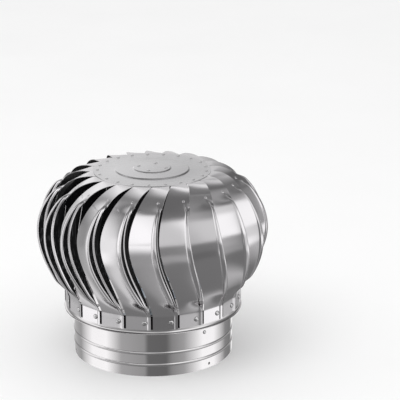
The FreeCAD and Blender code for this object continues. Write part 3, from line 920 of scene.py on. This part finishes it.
def drum_cloth():
    """Lit cloth: its brightness follows the height and the side, as seen from the object."""
    material = bpy.data.materials.new("studio_drum_cloth")
    material.use_nodes = True
    tree = material.node_tree
    tree.nodes.clear()
    place = add(tree, "ShaderNodeTexCoord").outputs["Object"]
    unit = add(tree, "ShaderNodeVectorMath", {0: place}, operation="NORMALIZE").outputs["Vector"]
    parts = add(tree, "ShaderNodeSeparateXYZ", {"Vector": unit}).outputs
    front = add(tree, "ShaderNodeMath", {0: parts["Y"], 1: -1.0}, operation="MULTIPLY").outputs["Value"]
    angle = add(tree, "ShaderNodeMath", {0: parts["X"], 1: front}, operation="ARCTAN2").outputs["Value"]
    turn = add(tree, "ShaderNodeMath", {0: angle, 1: 1 / (2 * math.pi), 2: 0.5}, operation="MULTIPLY_ADD")
    turn = turn.outputs["Value"]
    hung = turn_ramp(tree, turn, deep_cloth)
    for cloth, start, end in upper_cloths:
        height = add(tree, "ShaderNodeMapRange", {"Value": parts["Z"],
                                                  "From Min": math.sin(math.radians(start)),
                                                  "From Max": math.sin(math.radians(end))},
                     interpolation_type="SMOOTHSTEP")
        both = add(tree, "ShaderNodeMix", {"Factor": height.outputs["Result"]}, data_type="RGBA")
        tree.links.new(hung, both.inputs["A"])
        tree.links.new(turn_ramp(tree, turn, cloth), both.inputs["B"])
        hung = both.outputs["Result"]
    glow = add(tree, "ShaderNodeEmission", {"Color": hung, "Strength": 1.0})
    add(tree, "ShaderNodeOutputMaterial", {"Surface": glow.outputs["Emission"]})
    return material


build = bmesh.new()
bmesh.ops.create_uvsphere(build, u_segments=drum_segments, v_segments=drum_rings, radius=drum_radius)
bmesh.ops.reverse_faces(build, faces=build.faces)
drum_mesh = mesh_from("studio_drum_mesh", build)
drum_mesh.shade_smooth()
drum = piece_from("studio_drum", drum_mesh, drum_cloth())
drum.location = (0, 0, drum_centre)
drum.visible_camera = False
drum.visible_diffuse = False
drum.visible_shadow = False


# A small grey cloth at the left front, close by. It darkens the lower half of the front panel's mirror image
# and hangs clear of what the ring and the collar mirror.
side_cloth_radius = 0.40
side_cloth_turns = (-60.0, -28.0)
side_cloth_strips = 24
side_cloth_heights = (0.031, 0.27)
side_cloth_glow = (0.45, 1.50)
side_cloth_fade = 0.15


def fading_cloth():
    """Grey cloth that grows bright towards its upper hem."""
    material = bpy.data.materials.new("studio_side_cloth")
    material.use_nodes = True
    tree = material.node_tree
    tree.nodes.clear()
    place = add(tree, "ShaderNodeTexCoord").outputs["Object"]
    height = add(tree, "ShaderNodeSeparateXYZ", {"Vector": place}).outputs["Z"]
    bright = add(tree, "ShaderNodeMapRange", {"Value": height, "From Min": side_cloth_fade,
                                              "From Max": side_cloth_heights[1], "To Min": side_cloth_glow[0],
                                              "To Max": side_cloth_glow[1]},
                 interpolation_type="SMOOTHSTEP").outputs["Result"]
    glow = add(tree, "ShaderNodeEmission", {"Color": (1.0, 1.0, 1.0, 1.0), "Strength": bright})
    add(tree, "ShaderNodeOutputMaterial", {"Surface": glow.outputs["Emission"]})
    return material


build = bmesh.new()
posts = []
for step in range(side_cloth_strips + 1):
    turn = side_cloth_turns[0] + (side_cloth_turns[1] - side_cloth_turns[0]) * step / side_cloth_strips
    posts.append([build.verts.new(at(side_cloth_radius, turn, height)) for height in side_cloth_heights])
for post, after in zip(posts, posts[1:]):
    build.faces.new((post[0], post[1], after[1], after[0]))
side_cloth = piece_from("studio_side_cloth", mesh_from("studio_side_cloth_mesh", build), fading_cloth())
side_cloth.visible_camera = False
side_cloth.visible_diffuse = False
side_cloth.visible_shadow = False


# Floor: board painted white and matt, with a mottle about 333 mm across. The metal doesn't mirror it.
floor_half = 12.0
floor_mottle = 333


def pale_floor():
    """Matt pale floor with the faint mottle of painted board."""
    material, tree, shader, place = surface("matt_pale_floor")
    mottle = add(tree, "ShaderNodeTexNoise", {"Vector": place, "Scale": per_metre(floor_mottle), "Detail": 3.0})
    tone = add(tree, "ShaderNodeMix", {"Factor": mottle.outputs["Fac"]}, data_type="RGBA")
    tone.inputs["A"].default_value = linear("#fbfbfb")
    tone.inputs["B"].default_value = linear("#f7f7f7")
    shader.inputs["Roughness"].default_value = 0.9
    shader.inputs["Specular IOR Level"].default_value = 0.1
    tree.links.new(tone.outputs["Result"], shader.inputs["Base Color"])
    return material


build = bmesh.new()
bmesh.ops.create_grid(build, x_segments=1, y_segments=1, size=floor_half)
floor = piece_from("floor", mesh_from("floor_mesh", build), pale_floor())
floor.visible_glossy = False


# The air fills the shadows a little less than full white, but metal, glass and the camera see it white.
air_fill = 0.94
world = bpy.data.worlds.new("studio_air")
bpy.context.scene.world = world
world.use_nodes = True
sky = world.node_tree
sky.nodes.clear()
rays = add(sky, "ShaderNodeLightPath").outputs
seen = add(sky, "ShaderNodeMath", {0: rays["Is Camera Ray"], 1: rays["Is Glossy Ray"]}, operation="MAXIMUM")
seen = add(sky, "ShaderNodeMath", {0: seen.outputs[0], 1: rays["Is Transmission Ray"]}, operation="MAXIMUM")
strength = add(sky, "ShaderNodeMapRange", {"Value": seen.outputs[0], "To Min": air_fill, "To Max": 1.0})
air = add(sky, "ShaderNodeBackground", {"Color": (1.0, 1.0, 1.0, 1.0), "Strength": strength.outputs["Result"]})
add(sky, "ShaderNodeOutputWorld", {"Surface": air.outputs["Background"]})

softbox_width = 1.6
softbox_watts = 14.0
softbox_place = Vector((-0.8, -1.0, 2.6))
softbox_target = Vector((0, 0, 0.2))
lamp_data = bpy.data.lights.new("overhead_softbox", "AREA")
lamp_data.shape = "DISK"
lamp_data.size = softbox_width
lamp_data.energy = softbox_watts
lamp = bpy.data.objects.new("overhead_softbox", lamp_data)
lamp.location = softbox_place
lamp.rotation_euler = (softbox_target - softbox_place).to_track_quat("-Z", "Y").to_euler()
lamp.visible_glossy = False
bpy.context.scene.collection.objects.link(lamp)


# Camera: at the photograph's angle, found from the ellipses of the collar, ring and disc. A point on the spin
# axis 175 mm up lies at the pixel given below in the 400 by 400 frame.

photo_size = 400
photo_axis_pixel = (152.3, 259.4)
photo_axis_height = 0.175
camera_elevation = math.radians(19.3)
camera_distance = 3.5
camera_reach = 60.0
pixels_per_metre = 528.1
sensor_width = 36.0

focal_pixels = pixels_per_metre * camera_distance
camera_place = Vector((0, -camera_distance * math.cos(camera_elevation),
                       photo_axis_height + camera_distance * math.sin(camera_elevation)))
ahead = (Vector((0, 0, photo_axis_height)) - camera_place).normalized()
right = Vector((1, 0, 0))
aim = (ahead * focal_pixels + right * (photo_size / 2 - photo_axis_pixel[0])
       + right.cross(ahead) * (photo_axis_pixel[1] - photo_size / 2))
camera_data = bpy.data.cameras.new("camera")
camera_data.sensor_width = sensor_width
camera_data.lens = focal_pixels * sensor_width / photo_size
camera_data.clip_end = camera_reach
camera = bpy.data.objects.new("camera", camera_data)
camera.location = camera_place
camera.rotation_euler = aim.to_track_quat("-Z", "Y").to_euler()
bpy.context.scene.collection.objects.link(camera)
bpy.context.scene.camera = camera
bpy.context.scene.view_settings.view_transform = "Standard"
